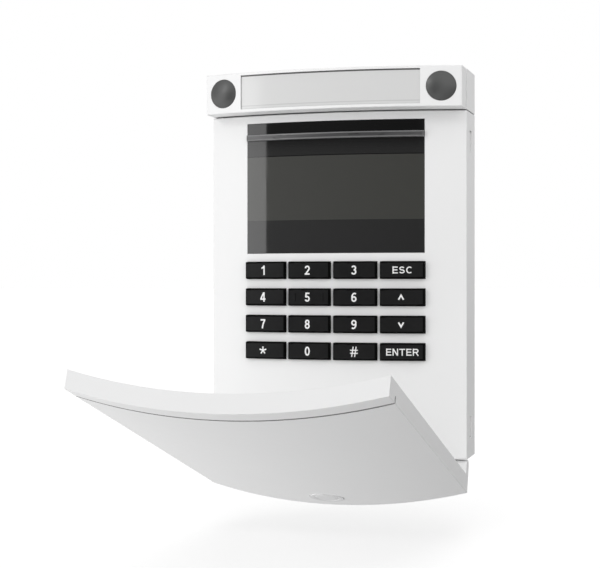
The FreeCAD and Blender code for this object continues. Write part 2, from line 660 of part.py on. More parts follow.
def make_main_board():
    board = block("board_blank", "0", BOARD_FACE, "board_low", "board_width",
                  "board_thick", "board_tall")
    holes = []
    screws = []
    for side, sign in SIDES:
        for level in ("low", "high"):
            x, z = f"{sign} * boss_x", f"boss_{level}"
            reach = "boss_tall - screw_short"
            holes.append(rod(f"board_hole_{side}_{level}", x, f"{BOARD_FACE} + cut_over", z,
                             "screw_radius + hole_gap", "board_thick + 2 * cut_over"))
            screws.append(union(f"screw_{side}_{level}", [
                rod(f"screw_head_{side}_{level}", x, "board_back", z, "head_radius", "head_tall"),
                rod(f"screw_shank_{side}_{level}", x, f"{BOARD_FACE} + {reach}", z,
                    "screw_radius", f"board_thick + {reach}"),
            ]))
    keep(less("board", board, holes), "main_board")
    keep(group("screws", screws), "board_screws")


def make_board_components():
    pieces = [block(name, f"{x}", "board_back", f"{z - tall / 2}", f"{wide}", f"{deep}", f"{tall}")
              for name, x, z, wide, tall, deep in CHIPS]
    for side, sign in SIDES:
        pieces.append(rod(f"capacitor_{side}", f"capacitor_x + {sign} * capacitor_pitch / 2",
                          "board_back", "capacitor_height", "capacitor_radius", "capacitor_tall"))
    keep(group("components", pieces), "board_components")


def make_sounder():
    can = rod("sounder_can", "sounder_x", "board_back", "sounder_height", "sounder_radius",
              "sounder_tall")
    port = rod("sounder_hole", "sounder_x", "board_back - sounder_tall + port_deep",
               "sounder_height", "sounder_port", "port_deep + cut_over")
    keep(less("sounder", can, [port]), "buzzer")


def make_sensors():
    """The magnetic sensor that notices the flap, and the card reader's coil round the keys."""
    keep(block("sensor", "magnet_x", f"{BOARD_FACE} + sensor_thick",
               "magnet_height - sensor_tall / 2", "sensor_width", "sensor_thick", "sensor_tall"),
         "flap_sensor")
    blank = block("antenna_sheet", "0", f"{BOARD_FACE} + track_thick", "key_low - antenna_over",
                  "antenna_width", "track_thick", f"{KEYS_TALL} + 2 * antenna_over")
    window = block("antenna_window", "0", f"{BOARD_FACE} + cut_over",
                   "key_low - antenna_over + track_width", "antenna_width - 2 * track_width",
                   "2 * cut_over", f"{KEYS_TALL} + 2 * antenna_over - 2 * track_width")
    keep(less("antenna", blank, [window]), "reader_antenna")


def make_terminal_block():
    low = "entry_height - terminal_drop"
    clamp = f"{low} + clamp_height"
    housing = block("terminal_housing", "0", "board_back", low,
                    f"{TERMINALS} * terminal_pitch + terminal_margin", "terminal_deep",
                    "terminal_tall")
    holes = []
    screws = []
    for way in range(TERMINALS):
        x = f"{way - (TERMINALS - 1) / 2} * terminal_pitch"
        holes.append(block(f"wire_hole_{way}", x, "board_back - wire_inset", f"{low} + wire_low",
                           "wire_width", "wire_deep", "wire_tall"))
        holes.append(rod(f"terminal_bore_{way}", x, "board_back - clamp_inset", clamp,
                         "clamp_radius + hole_gap", "terminal_deep"))
        slot = block(f"terminal_slot_{way}", x,
                     "board_back - clamp_inset - clamp_length + slot_deep",
                     f"{clamp} - clamp_radius - cut_over", "slot_width", "slot_deep + cut_over",
                     "2 * clamp_radius + 2 * cut_over")
        screws.append(less(f"terminal_screw_{way}",
                           rod(f"terminal_rod_{way}", x, "board_back - clamp_inset", clamp,
                               "clamp_radius", "clamp_length"), [slot]))
    keep(less("terminals", housing, holes), "terminal_block")
    keep(group("terminal_screws_group", screws), "terminal_screws")


def make_tamper_switch():
    x, z = "tamper_x", "tamper_height"
    housing = block("tamper_block", x, "board_back", f"{z} - tamper_size / 2", "tamper_size",
                    "tamper_deep", "tamper_size")
    bore = rod("tamper_bore", x, "board_back - bore_roof", z, "tamper_head + hole_gap", "bore_deep")
    neck = rod("tamper_neck", x, "board_back - bore_roof - bore_deep + cut_over / 2", z,
               "tamper_stem + hole_gap", "2 * cut_over")
    keep(less("tamper_housing", housing, [bore, neck]), "tamper_switch")
    head = rod("plunger_head", x, "board_back - head_inset", z, "tamper_head", "head_thick")
    stem_front = "board_back - head_inset - head_thick / 2"
    stem = rod("plunger_stem", x, stem_front, z, "tamper_stem", f"{stem_front} - plunger_end")
    keep(union("plunger", [stem, head]), "tamper_plunger")
    keep(tamper_spring(x, z), "tamper_spring")


def tamper_spring(x, z):
    """A round wire swept along a helix."""
    coil = doc.addObject("Part::Helix", "spring_line")
    bind(coil, "Pitch", "spring_pitch")
    bind(coil, "Height", "spring_length")
    bind(coil, "Radius", "spring_radius")
    wire = doc.addObject("Part::Circle", "spring_wire")
    bind(wire, "Radius", "wire_radius")
    wire.Placement.Rotation = Rotation(Vector(1, 0, 0), 90)
    bind(wire, "Placement.Base.x", "spring_radius")
    doc.recompute()
    spring = doc.addObject("Part::Sweep", "spring")
    spring.Sections = [wire]
    spring.Spine = (coil, ["Edge1"])
    spring.Solid = True
    spring.Frenet = True
    spring.Placement.Rotation = TURN_TO_Y
    place(spring, x, "board_back - spring_inset", z)
    return spring


# ---------------------------------------------------------------- control segment

def make_segment():
    base_front = "segment_split - parting_gap"
    shell = union("base_outside", [
        block("base_block", "0", f"{base_front} - rim_deep", "segment_low", "case_width",
              f"{base_front} - rim_deep - wall_gap", "segment_tall"),
        block("base_rim", "0", base_front, "segment_low + rim_inset", "case_width - 2 * rim_inset",
              "2 * rim_deep", "segment_tall - 2 * rim_inset"),
    ])
    hollow = block("base_hollow", "0", "segment_split", "segment_low + segment_wall",
                   "case_width - 2 * case_wall", "segment_split - segment_rear",
                   "segment_tall - 2 * segment_wall")
    opening = block("base_opening", "0", "pass_depth + pass_deep", "segment_low - cut_over",
                    "pass_width", "pass_deep", "segment_wall + 2 * cut_over")
    keep(less("base_shell", shell, [hollow, opening]), "segment_base")

    frame = curved("frame_outside", f"frame_inset - {HALF_WIDTH}", f"{HALF_WIDTH} - frame_inset",
                   "segment_crown", "segment_low", "segment_tall", back="segment_split")
    dress(frame, "Fillet", "edge_round", on_front("segment_crown"))
    openings = [
        curved("frame_inside", f"case_wall - {HALF_WIDTH}", f"{HALF_WIDTH} - case_wall",
               "segment_crown - segment_skin", "segment_low + segment_wall",
               "segment_tall - 2 * segment_wall", back="segment_split - cut_over"),
        curved("label_seat", "-label_width / 2", "label_width / 2", "segment_crown + cut_clear",
               "label_low", "label_tall", thick="cut_clear + label_sunk + label_pane + label_nest"),
        block("label_opening", "0", "segment_crown + cut_clear", "label_low + label_ledge",
              "label_width - 2 * label_ends", "cut_through", "label_tall - 2 * label_ledge"),
    ]
    for side, sign in SIDES:
        openings.append(rod(f"button_hole_{side}", f"{sign} * button_x", "segment_crown",
                            "button_height", "button_radius + hole_gap", "cut_through"))
    keep(less("frame", frame, openings), "segment_front_frame")

    keep(curved("pane", "label_gap - label_width / 2", "label_width / 2 - label_gap",
                "segment_crown - label_sunk", "label_low + label_gap",
                "label_tall - 2 * label_gap", thick="label_pane"), "segment_window")
    keep(curved("label", "paper_inset - label_width / 2", "label_width / 2 - paper_inset",
                "segment_crown - label_sunk - label_pane - paper_gap", "label_low + paper_inset",
                "label_tall - 2 * paper_inset", thick="paper_thick"), "segment_label")


def make_segment_electronics():
    keep(block("segment_blank", "0", BOARD_FACE, "segment_low + segment_board_inset",
               "segment_board_width", "board_thick", "segment_tall - 2 * segment_board_inset"),
         "segment_board")
    foot = "(board_low + board_tall)"
    keep(block("plug", "0", "pass_depth + pass_deep - link_inset", f"{foot} + link_gap",
               "pass_width - link_inset", "pass_deep - 2 * link_inset",
               f"segment_low + link_lap - {foot}"), "segment_connector")
    keep(group("leds", [block(f"led_{number}", f"{step} * led_pitch", f"{BOARD_FACE} + led_thick",
                              "segment_low + led_height", "led_width", "led_thick", "led_tall")
                        for number, step in enumerate((-2, -1, 1, 2))]), "segment_leds")
    switches = []
    for side, sign in SIDES:
        x = f"{sign} * button_x"
        switches.append(union(f"switch_{side}", [
            block(f"switch_body_{side}", x, f"{BOARD_FACE} + switch_deep",
                  "button_height - switch_size / 2", "switch_size", "switch_deep", "switch_size"),
            rod(f"switch_cap_{side}", x, f"{BOARD_FACE} + switch_top", "button_height",
                "switch_cap", "switch_top - switch_deep + switch_lap"),
        ]))
    keep(group("switches", switches), "segment_switches")


def make_segment_buttons():
    """Flanged barrels, cut by a ball whose middle lies behind the segment's front along its normal, so
    that the dome's rim is flush all round."""
    inner_radius = "(front_radius - button_curve + button_dome)"
    lean = "(button_x / front_radius)"
    for side, sign in SIDES:
        x = f"{sign} * button_x"
        stem = union(f"button_stem_{side}", [
            rod(f"button_flange_{side}", x, "button_back + flange_thick", "button_height",
                "button_radius + button_flange", "flange_thick"),
            rod(f"button_barrel_{side}", x, "segment_crown", "button_height", "button_radius",
                "segment_crown - button_back"),
        ])
        ball = doc.addObject("Part::Sphere", f"button_ball_{side}")
        bind(ball, "Radius", "button_curve")
        place(ball, f"{sign} * {inner_radius} * {lean}",
              f"segment_crown - front_radius + {inner_radius} * cos(asin({lean}))", "button_height")
        button = doc.addObject("Part::MultiCommon", f"button_{side}")
        button.Shapes = [stem, ball]
        keep(button, f"segment_button_{side}")


# ---------------------------------------------------------------- flap

def make_flap_shell():
    outside = curved("flap_outside", f"-{HALF_WIDTH}", HALF_WIDTH, "flap_crown", "flap_low",
                     "flap_tall", thick="flap_rim")
    dress(outside, "Fillet", "flap_edge", on_front("flap_crown"))
    left, right = f"flap_wall - {HALF_WIDTH}", f"{HALF_WIDTH} - flap_wall"
    through = "flap_rim + cut_clear"
    hollows = [
        curved("flap_hollow", left, right, "flap_crown - flap_skin", "flap_low + flap_sole",
               "flap_tall - flap_sole - trim_tall - trim_web", thick=through),
        curved("trim_hollow", left, right, "flap_crown - trim_thick - trim_backing",
               "flap_low + flap_tall - trim_tall - 2 * trim_web",
               "trim_tall + 2 * trim_web - flap_wall - trim_lip", thick=through),
    ]
    sole = curved("flap_sole_wall", f"-{HALF_WIDTH}", HALF_WIDTH, "flap_crown - flap_rim + sole_lap",
                  "flap_low", "flap_sole", back="hinge_depth")
    barrel = bar("flap_barrel", "0", "hinge_depth", "hinge_height", "hinge_radius", "case_width")
    whole = union("flap_whole", [less("flap_tray", outside, hollows), sole, barrel])
    cuts = [
        curved("trim_seat", f"-{HALF_WIDTH} - cut_over", f"{HALF_WIDTH} + cut_over",
               "flap_crown + cut_clear", "flap_low + flap_tall - trim_tall", "trim_tall + cut_over",
               thick="cut_clear + trim_thick"),
        curved("trim_end", f"-{HALF_WIDTH} - cut_over", f"{HALF_WIDTH} + cut_over",
               "flap_crown + cut_clear", "flap_low + flap_tall - trim_lip - seat_gap",
               "trim_lip + seat_gap + cut_over", thick="cut_clear + flap_rim + cut_over"),
        rod("badge_seat", "0", "flap_crown + cut_over", "badge_height", "badge_radius + hole_gap",
            "cut_over + badge_sunk"),
    ]
    for side, sign in SIDES:
        cuts.append(block(f"ear_notch_{side}", f"{sign} * ear_x",
                          "hinge_depth + hinge_radius + notch_gap", "flap_low - cut_over",
                          "ear_width + 2 * ear_gap", "2 * hinge_radius + 2 * notch_gap",
                          "flap_sole + 2 * cut_over"))
        cuts.append(bar(f"pin_hole_{side}", f"{sign} * ear_x", "hinge_depth", "hinge_height",
                        "pin_radius", "pin_length"))
    keep_on_flap(less("flap", whole, cuts), "flap_shell")


def make_flap_lining():
    """The inner panel, with a shallow seat for a user card."""
    crown = "flap_crown - flap_skin - lining_back"
    side = "flap_wall + lining_gap"
    lining = curved("flap_lining", f"{side} - {HALF_WIDTH}", f"{HALF_WIDTH} - ({side})", crown,
                    "flap_low + flap_sole + lining_gap",
                    "flap_tall - flap_sole - trim_tall - trim_web - 2 * lining_gap",
                    thick="lining_thick")
    seat = curved("card_seat", "-card_width / 2", "card_width / 2",
                  f"{crown} - lining_thick + card_deep", "card_low", "card_tall",
                  thick="card_deep + cut_over")
    keep_on_flap(less("flap_panel", lining, [seat]), "flap_inner_panel")


def make_flap_trim():
    """A strip along the free end, with a lip that covers the end face."""
    strip = curved("trim_strip", f"-{HALF_WIDTH}", HALF_WIDTH, "flap_crown",
                   "flap_low + flap_tall - trim_tall + trim_groove", "trim_tall - trim_groove",
                   thick="trim_thick - seat_gap")
    dress(strip, "Fillet", "flap_edge", on_front("flap_crown"))
    lip = curved("trim_end_face", f"-{HALF_WIDTH}", HALF_WIDTH, "flap_crown - trim_thick / 2",
                 "flap_low + flap_tall - trim_lip", "trim_lip", thick="flap_rim - trim_thick / 2")
    keep_on_flap(union("trim", [strip, lip]), "flap_pull_trim")


def make_flap_fittings():
    pins = [bar(f"pin_{side}", f"{sign} * ear_x", "hinge_depth", "hinge_height", "pin_radius",
                "pin_length") for side, sign in SIDES]
    keep_on_flap(group("pins", pins), "flap_hinge_pins")
    pads = []
    for side, sign in SIDES:
        x = f"{sign} * ({HALF_WIDTH} - bumper_inset)"
        pads.append(curved(f"bumper_{side}", f"{x} - bumper_width / 2", f"{x} + bumper_width / 2",
                           "flap_crown - flap_rim", "bumper_height", "bumper_tall",
                           thick="bumper_thick"))
    keep_on_flap(group("bumpers", pads), "flap_bumpers")
    disc = rod("magnet", "magnet_x", "magnet_front", "magnet_height", "magnet_radius",
               "magnet_thick")
    keep_on_flap(group("magnet_group", [disc]), "flap_magnet")


def make_flap_badge():
    """A blank disc with a ring groove."""
    ring = less("badge_ring", rod("ring_outer", "0", "flap_crown + cut_over", "badge_height",
                                  "ring_radius", "cut_over - badge_proud + ring_deep"),
                [rod("ring_inner", "0", "flap_crown + cut_clear", "badge_height",
                     "ring_radius - ring_width", "2 * cut_clear")])
    disc = rod("badge_disc", "0", "flap_crown + badge_proud", "badge_height", "badge_radius",
               "badge_proud + badge_sunk - seat_gap")
    keep_on_flap(less("badge", disc, [ring]), "flap_badge")


def export_sub_parts():
    doc.recompute()
    failed = [item.Name for item in doc.Objects if {"Invalid", "Error"} & set(item.State)]
    if failed:
        raise RuntimeError(f"not computed: {failed}")
    os.makedirs("parts", exist_ok=True)
    for piece in sub_parts:
        if piece.Shape.isNull() or not piece.Shape.isValid():
            raise RuntimeError(f"{piece.Label} has no valid shape")
        piece.Shape.exportStep(f"parts/{piece.Label}.step")
    print(len(sub_parts), "sub-parts")


make_front_cover()
make_back_plate()
make_display()
make_keys()
make_keypad_membrane()
make_main_board()
make_board_components()
make_sounder()
make_sensors()
make_terminal_block()
make_tamper_switch()
make_segment()
make_segment_electronics()
make_segment_buttons()
make_flap_shell()
make_flap_lining()
make_flap_trim()
make_flap_fittings()
make_flap_badge()
export_sub_parts()
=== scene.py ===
import json
import math

import bmesh
import bpy
from mathutils import Euler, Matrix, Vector


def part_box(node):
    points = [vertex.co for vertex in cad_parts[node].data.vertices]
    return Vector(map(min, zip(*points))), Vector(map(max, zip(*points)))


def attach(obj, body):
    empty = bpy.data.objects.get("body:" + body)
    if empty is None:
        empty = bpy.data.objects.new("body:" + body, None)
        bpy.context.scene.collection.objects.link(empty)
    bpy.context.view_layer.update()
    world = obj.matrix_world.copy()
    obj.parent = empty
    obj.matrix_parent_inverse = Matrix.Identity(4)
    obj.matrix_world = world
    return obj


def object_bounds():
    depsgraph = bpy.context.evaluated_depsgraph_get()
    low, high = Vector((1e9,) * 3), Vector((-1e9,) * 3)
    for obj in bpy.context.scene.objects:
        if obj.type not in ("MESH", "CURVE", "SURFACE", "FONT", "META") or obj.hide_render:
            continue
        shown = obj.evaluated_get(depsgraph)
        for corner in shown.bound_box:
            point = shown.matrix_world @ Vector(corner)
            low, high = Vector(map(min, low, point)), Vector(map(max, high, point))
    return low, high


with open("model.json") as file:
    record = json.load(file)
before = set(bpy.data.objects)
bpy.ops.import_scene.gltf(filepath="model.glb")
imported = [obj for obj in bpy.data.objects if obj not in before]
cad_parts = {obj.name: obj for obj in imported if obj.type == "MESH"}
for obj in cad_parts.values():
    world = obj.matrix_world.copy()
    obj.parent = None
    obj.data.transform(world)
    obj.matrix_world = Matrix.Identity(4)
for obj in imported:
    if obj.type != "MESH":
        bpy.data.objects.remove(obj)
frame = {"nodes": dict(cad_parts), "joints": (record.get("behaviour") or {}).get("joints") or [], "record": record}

# Looks for the alarm keypad panel. Metres, in the row frame: the origin is the centre of the wall
# face, +X is to the reader's right, +Y goes into the wall and +Z is up.

MM = 0.001
NODES = frame["nodes"]
CAD_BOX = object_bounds()
LOWEST = CAD_BOX[0]


# ---------------------------------------------------------------- material helpers

NOISE_LOW, NOISE_HIGH = 0.3, 0.7       # most of a noise pattern's values lie between these
SAMPLES = 4                  # for rounding edges, and for finding how open a place is


def add_node(tree, kind, inputs=(), **settings):
    """A new node; inputs gives each named or numbered socket a value or another node's output."""
    node = tree.nodes.new("ShaderNode" + kind)
    for setting, value in settings.items():
        setattr(node, setting, value)
    for socket, value in dict(inputs).items():
        if isinstance(value, bpy.types.NodeSocket):
            tree.links.new(value, node.inputs[socket])
        else:
            node.inputs[socket].default_value = value
    return node


class Look:
    """A material in the making. Its patterns read Object coordinates, which are the row frame's."""

    def __init__(self, name, colour, roughness, **sockets):
        self.material = bpy.data.materials.new(name)
        self.material.use_nodes = True
        self.tree = self.material.node_tree
        self.shader = self.tree.nodes["Principled BSDF"]
        self.shader.inputs["Base Color"].default_value = (*colour, 1)
        self.shader.inputs["Roughness"].default_value = roughness
        for socket, value in sockets.items():
            self.shader.inputs[socket.replace("_", " ")].default_value = value
        self.place = self.tree.nodes.new("ShaderNodeTexCoord").outputs["Object"]
        self.axes = None

    def add(self, kind, inputs=(), **settings):
        return add_node(self.tree, kind, inputs, **settings)

    def math(self, operation, first, second=0.0):
        return self.add("Math", {0: first, 1: second}, operation=operation).outputs[0]

    def axis(self, name):
        """The X, Y or Z coordinate."""
        if self.axes is None:
            self.axes = self.add("SeparateXYZ", {0: self.place})
        return self.axes.outputs[name]

    def stretched(self, x, y, z):
        """Coordinates scaled by these factors, for patterns that run along one axis."""
        return self.add("Mapping", {"Vector": self.place, "Scale": (x, y, z)}).outputs[0]

    def noise(self, size, detail=2.0, where=None):
        """Noise from 0 to 1 whose blotches are about this many metres across."""
        inputs = {"Vector": where or self.place, "Scale": 1 / size, "Detail": detail}
        return self.add("TexNoise", inputs).outputs["Fac"]

    def cells(self, size, feature="F1"):
        """Distances within cells that are about this many metres across."""
        inputs = {"Vector": self.place, "Scale": 1 / size}
        return self.add("TexVoronoi", inputs, feature=feature).outputs["Distance"]

    def ramp(self, value, low, high, to_low=0.0, to_high=1.0, smooth=False):
        """Maps low..high to to_low..to_high and holds the ends."""
        kind = "SMOOTHSTEP" if smooth else "LINEAR"
        inputs = {0: value, 1: low, 2: high, 3: to_low, 4: to_high}
        return self.add("MapRange", inputs, interpolation_type=kind).outputs[0]

    def follow(self, pattern, low=0.0, high=1.0):
        """A value that goes from low to high over a noise pattern's usual range."""
        return self.ramp(pattern, NOISE_LOW, NOISE_HIGH, low, high)

    def between(self, value, low, high, soft):
        """1 where the value is between low and high, with soft edges this wide."""
        rise = self.ramp(value, low - soft / 2, low + soft / 2, smooth=True)
        fall = self.ramp(value, high - soft / 2, high + soft / 2, 1.0, 0.0, smooth=True)
        return self.math("MULTIPLY", rise, fall)

    def mix(self, share, first, second):
        """A colour between two, each a colour or another node's output."""
        node = self.add("Mix", {0: share}, data_type="RGBA")
        for socket, colour in ((6, first), (7, second)):
            if isinstance(colour, bpy.types.NodeSocket):
                self.tree.links.new(colour, node.inputs[socket])
            else:
                node.inputs[socket].default_value = (*colour, 1)
        return node.outputs[2]

    def rounded(self, radius):
        """A normal that turns over the edges, as a moulded edge does."""
        return self.add("Bevel", {"Radius": radius}, samples=SAMPLES).outputs[0]

    def openness(self, reach):
        """1 in the open, and less where other surfaces within this reach close a place in."""
        return self.add("AmbientOcclusion", {"Distance": reach}, samples=SAMPLES).outputs["AO"]

    def bump(self, height, depth, normal=None):
        """Adds relief of this depth in metres on top of another normal."""
        inputs = {"Height": height, "Distance": depth, "Strength": 1.0}
        if normal is not None:
            inputs["Normal"] = normal
        return self.add("Bump", inputs).outputs[0]

    def set(self, **sockets):
        """Links outputs to the shader's sockets."""
        for socket, value in sockets.items():
            self.tree.links.new(value, self.shader.inputs[socket.replace("_", " ")])


CLOUD, SPECK = 24 * MM, 0.5 * MM       # sizes of the plastic's broad and fine mottling
CLOUD_SHARE, SPECK_SHARE = 0.8, 0.2
WAVE, WAVE_DEPTH = 14 * MM, 0.012 * MM
UNEVEN = 0.05                # how far the roughness strays either way
JOINT_SHADE = 0.3                  # how pale the painted shade leaves the plastic deep in its joints, as a share
JOINT_SHADE_REACH = 1.0 * MM
JOINT_SHADE_FULL, JOINT_SHADE_ENDS = 0.05, 0.3     # the openness at which the painted shade is full, and at which it ends


def moulded(name, colour, darker, roughness, grain, depth, edge, **sockets):
    """Injection-moulded plastic: faint mottling, an eroded grain, soft waviness, rounded edges, and
    shade painted darker into its joints."""
    look = Look(name, colour, roughness, **sockets)
    cloud = look.math("MULTIPLY", look.noise(CLOUD, 3.0), CLOUD_SHARE)
    speck = look.math("MULTIPLY", look.noise(SPECK, 2.0), SPECK_SHARE)
    mottled = look.mix(look.math("ADD", cloud, speck), darker, colour)
    shade_colour = tuple(JOINT_SHADE * channel for channel in darker)
    waves = look.bump(look.noise(WAVE, 1.0), WAVE_DEPTH, look.rounded(edge))
    # Darker where other surfaces close a place in: painted shade in the joints.
    look.set(
        Base_Color=look.mix(look.ramp(look.openness(JOINT_SHADE_REACH), JOINT_SHADE_FULL, JOINT_SHADE_ENDS), shade_colour, mottled),
        Roughness=look.follow(look.noise(3 * MM, 3.0), roughness - UNEVEN, roughness + UNEVEN),
        Normal=look.bump(look.noise(grain, 3.0), depth, waves),
    )
    return look


# ---------------------------------------------------------------- the object's materials

def white_shell():
    return moulded("white_shell", (0.87, 0.87, 0.868), (0.845, 0.846, 0.85), roughness=0.42,
                   grain=0.22 * MM, depth=0.006 * MM, edge=0.12 * MM)


FLAP_HINGE = next(top_shadow for top_shadow in frame["joints"] if top_shadow["name"] == "flap_hinge")
FLAP_OPEN = -math.radians(FLAP_HINGE["range_deg"][0])      # its lowest angle is the closed flap's
FLAP_WAY = Vector((0, -math.sin(FLAP_OPEN), math.cos(FLAP_OPEN)))   # hinge to free end, at rest
TRIM_LOW = min(FLAP_WAY.dot(vertex.co) for vertex in NODES["flap_pull_trim"].data.vertices)
GROOVE = 1.05 * MM           # width of the groove between the flap's shell and its pull trim
GROOVE_SHADE_COLOUR = (0.22, 0.22, 0.22)
GROOVE_SPARE = 0.03 * MM     # the painted shade reaches this far past the groove, onto the shell's edge
GROOVE_SOFT = 0.04 * MM
GROOVE_REACH = 3 * MM
GROOVE_SHADE_FULL, GROOVE_SHADE_ENDS = 0.6, 0.9  # the openness at which the painted shade is full, and at which it ends


def flap_white():
    """The same moulding, with shade painted darker down in the groove beside the pull trim."""
    look = white_shell()
    plain = look.shader.inputs["Base Color"].links[0].from_socket
    along = look.add("VectorMath", {0: look.place, 1: FLAP_WAY}, operation="DOT_PRODUCT")
    groove = look.between(along.outputs["Value"], TRIM_LOW - GROOVE - GROOVE_SPARE, TRIM_LOW,
                          GROOVE_SOFT)
    deep = look.ramp(look.openness(GROOVE_REACH), GROOVE_SHADE_FULL, GROOVE_SHADE_ENDS, 1.0, 0.0)
    # Down in the groove the shell is painted darker: painted shade.
    look.set(Base_Color=look.mix(look.math("MULTIPLY", groove, deep), plain, GROOVE_SHADE_COLOUR))
    return look


def white_inner():
    """Plainer moulding with faint flow lines, for faces that are seldom seen."""
    look = moulded("white_inner", (0.82, 0.82, 0.812), (0.785, 0.787, 0.785), roughness=0.5,
                   grain=0.3 * MM, depth=0.008 * MM, edge=0.2 * MM)
    flow = look.follow(look.noise(5 * MM, 2.0, look.stretched(1.0, 1.0, 0.15)))
    look.set(Base_Color=look.mix(flow, (0.79, 0.79, 0.785), (0.83, 0.83, 0.822)))
    return look


GLASS_LOW, GLASS_HIGH = (corner.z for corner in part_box("lcd_glass"))
WINDOW_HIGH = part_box("display_window")[1].z
WINDOW_LEFT, WINDOW_RIGHT = (corner.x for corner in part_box("display_window"))
VIEW_MARGIN = 0.58 * MM      # the glass's own frame, above and below its viewing area

# The pane's colours at its left and right sides, for each of its zones. The black print is the same all over; its
# zones differ by painted reflection and shade, and each is painted darker towards the right as shade.
TOP_SHADED_PRINT = (0.006, 0.006, 0.0062), (0.0006, 0.0006, 0.0006)
ABOVE_GLASS = (0.021, 0.021, 0.021), (0.0165, 0.0165, 0.0165)
GLASS = (0.0565, 0.0567, 0.053), (0.046, 0.0462, 0.042)
BELOW_GLASS = (0.0275, 0.0275, 0.0277), (0.0185, 0.0185, 0.0187)
TOP_SHADE_DEEP = 4 * MM      # how far down from its top edge the painted shade makes the pane blackest
GLASS_SOFT = 0.12 * MM       # softness of the viewing area's edge
SHADOW_UNDER, SHADOW_OVER = 0.1 * MM, 0.3 * MM     # a dark line lies along the glass's top edge
SHADOW_SOFT, SHADOW_SHARE = 0.15 * MM, 0.85

DOT_PITCH = 0.5 * MM
DOT_EDGE, DOT_GAP = 0.40, 0.46         # where the gap between dots begins and is full, in pitches
PANE_GAPS, BARE_GAPS = 0.14, 0.3       # how strongly the gaps show, through the pane and bare


def dot_gaps(look):
    """Where the narrow dark lines between the display's dots cross."""
    across, height = (gap_lines(look, look.axis(name)) for name in "XZ")
    return look.math("MULTIPLY", across, height)


def gap_lines(look, along):
    phase = look.math("FRACT", look.math("DIVIDE", along, DOT_PITCH))
    return look.ramp(look.math("ABSOLUTE", look.math("SUBTRACT", phase, 0.5)), DOT_EDGE, DOT_GAP)


def display_gloss():
    """A polished pane, printed black behind, with the unlit display showing through its middle; painted shade
    darkens it towards its top and its right, and a painted shadow lies along the glass's top edge.
    """
    look = Look("display_gloss", TOP_SHADED_PRINT[1], 0.035, IOR=1.5)
    height, across = look.axis("Z"), look.axis("X")
    low, high = GLASS_LOW + VIEW_MARGIN, GLASS_HIGH - VIEW_MARGIN
    side = look.ramp(across, WINDOW_LEFT, WINDOW_RIGHT)
    # Each zone runs from its left colour to its right one: painted shade, darker to the right.
    top, above, glass, below = (look.mix(side, *zone)
                                for zone in (TOP_SHADED_PRINT, ABOVE_GLASS, GLASS, BELOW_GLASS))
    # Towards its top edge the print is painted darker still: painted shade.
    upper = look.mix(look.ramp(height, high, WINDOW_HIGH - TOP_SHADE_DEEP, smooth=True), above, top)
    print_with_shade = look.mix(look.ramp(height, low, high), below, upper)
    glass = look.mix(look.math("MULTIPLY", dot_gaps(look), PANE_GAPS), glass, (0.03, 0.03, 0.028))
    shown = look.mix(look.between(height, low, high, GLASS_SOFT), print_with_shade, glass)
    edge = look.between(height, high - SHADOW_UNDER, high + SHADOW_OVER, SHADOW_SOFT)
    shown = look.mix(look.math("MULTIPLY", edge, SHADOW_SHARE), shown, (0.001, 0.001, 0.001))
    dust = look.ramp(look.noise(0.35 * MM, 1.0), 0.74, 0.8, 0.0, 0.012)
    look.set(
        Base_Color=look.mix(dust, shown, (0.5, 0.5, 0.48)),
        Roughness=look.follow(look.noise(9 * MM, 3.0), 0.025, 0.06),
        Normal=look.bump(look.noise(18 * MM, 1.0), 0.004 * MM, look.rounded(0.15 * MM)),
    )
    return look


RAIL_HIGHLIGHT_START, RAIL_HIGHLIGHT_FULL = 0.7 * MM, 0.2 * MM           # painted highlight, measured in from each edge of the rail


def rail_dark():
    """Satin plastic with fine lines drawn along the rail, and a paler highlight painted along its two edges."""
    low, high = (corner.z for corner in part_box("window_rail"))
    look = Look("rail_dark", (0.03, 0.03, 0.031), 0.3, Specular_IOR_Level=1.0)
    lines = look.noise(0.8 * MM, 3.0, look.stretched(0.04, 1.0, 1.0))
    height = look.axis("Z")
    upper = look.ramp(height, high - RAIL_HIGHLIGHT_START, high - RAIL_HIGHLIGHT_FULL, smooth=True)
    lower = look.ramp(height, low + RAIL_HIGHLIGHT_FULL, low + RAIL_HIGHLIGHT_START, 1.0, 0.0, smooth=True)
    plain = look.mix(lines, (0.026, 0.026, 0.027), (0.036, 0.036, 0.037))
    # The paler colour along both edges is a painted highlight.
    look.set(
        Base_Color=look.mix(look.math("ADD", upper, lower), plain, (0.17, 0.17, 0.172)),
        Roughness=look.follow(lines, 0.26, 0.36),
        Normal=look.bump(lines, 0.003 * MM),
    )
    return look


SIDE_FACING, FRONT_FACING = 0.9, 0.985 # how far a face of a key turns to the front, as a cosine; the sides are painted near black as shade
WEAR_SHARE = 0.25


def key_black():
    """Satin black caps, finely grained; sides painted blacker as shade, and duller; front worn paler in places."""
    look = Look("key_black", (0.009, 0.009, 0.0095), 0.36, Specular_IOR_Level=0.12)
    facing = look.add("SeparateXYZ", {0: look.add("NewGeometry").outputs["Normal"]}).outputs["Y"]
    front = look.ramp(look.math("ABSOLUTE", facing), SIDE_FACING, FRONT_FACING)
    worn = look.math("MULTIPLY", look.noise(9 * MM, 3.0), look.ramp(look.noise(1.6 * MM), 0.4, 0.7))
    shade = look.mix(look.noise(7 * MM, 3.0), (0.0085, 0.0085, 0.009), (0.0118, 0.0118, 0.0122))
    shade = look.mix(look.math("MULTIPLY", worn, WEAR_SHARE), shade, (0.02, 0.02, 0.02))
    satin = look.follow(look.noise(4 * MM, 2.0), 0.32, 0.4)
    # Faces turned away from the front are painted near black: painted shade on the key's sides.
    look.set(
        Base_Color=look.mix(front, (0.001, 0.001, 0.001), shade),
        Roughness=look.ramp(front, 0.0, 1.0, 1.0, satin),
        Normal=look.bump(look.noise(0.16 * MM, 2.0), 0.005 * MM),
    )
    return look


